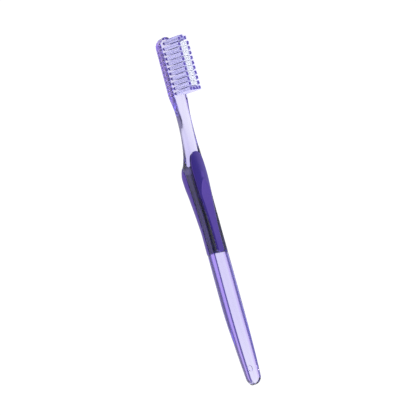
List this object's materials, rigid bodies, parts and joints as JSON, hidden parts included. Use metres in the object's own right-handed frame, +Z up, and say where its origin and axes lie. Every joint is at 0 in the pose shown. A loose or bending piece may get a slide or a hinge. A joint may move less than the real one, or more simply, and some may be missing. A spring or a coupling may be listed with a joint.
{
  "type": "manual toothbrush",
  "caption": "Manual toothbrush with a clear moulded handle, soft front and back grips, and violet and clear bristle tufts held by metal anchors.",
  "frame": {"origin": "on the table under the middle of the box, as the brush lies on its back", "axes": "+X from the head to the tail, +Y across, +Z up, the way the bristles point"},
  "size_m": [0.19, 0.0132, 0.025],
  "materials": {
    "clear_violet": "clear violet plastic, polished",
    "soft_grip": "soft matt rubber",
    "violet_bristle": "fine violet nylon",
    "clear_bristle": "fine clear nylon",
    "anchor_metal": "nickel silver strip"
  },
  "bodies": {
    "root": {"handle": "clear_violet", "thumb_grip": "soft_grip", "back_grip": "soft_grip", "end_tufts": "violet_bristle", "heel_tufts": "violet_bristle", "outer_tufts_2": "violet_bristle", "outer_tufts_3": "violet_bristle", "outer_tufts_4": "violet_bristle", "outer_tufts_5": "violet_bristle", "outer_tufts_6": "violet_bristle", "outer_tufts_7": "violet_bristle", "outer_tufts_8": "violet_bristle", "outer_tufts_9": "violet_bristle", "outer_tufts_10": "violet_bristle", "inner_tufts_2": "clear_bristle", "inner_tufts_3": "clear_bristle", "inner_tufts_4": "clear_bristle", "inner_tufts_5": "clear_bristle", "inner_tufts_6": "clear_bristle", "inner_tufts_7": "clear_bristle", "inner_tufts_8": "clear_bristle", "inner_tufts_9": "clear_bristle", "inner_tufts_10": "clear_bristle", "anchors_1": "anchor_metal", "anchors_2": "anchor_metal", "anchors_3": "anchor_metal", "anchors_4": "anchor_metal", "anchors_5": "anchor_metal", "anchors_6": "anchor_metal", "anchors_7": "anchor_metal", "anchors_8": "anchor_metal", "anchors_9": "anchor_metal", "anchors_10": "anchor_metal", "anchors_11": "anchor_metal"}
  },
  "joints": []
}
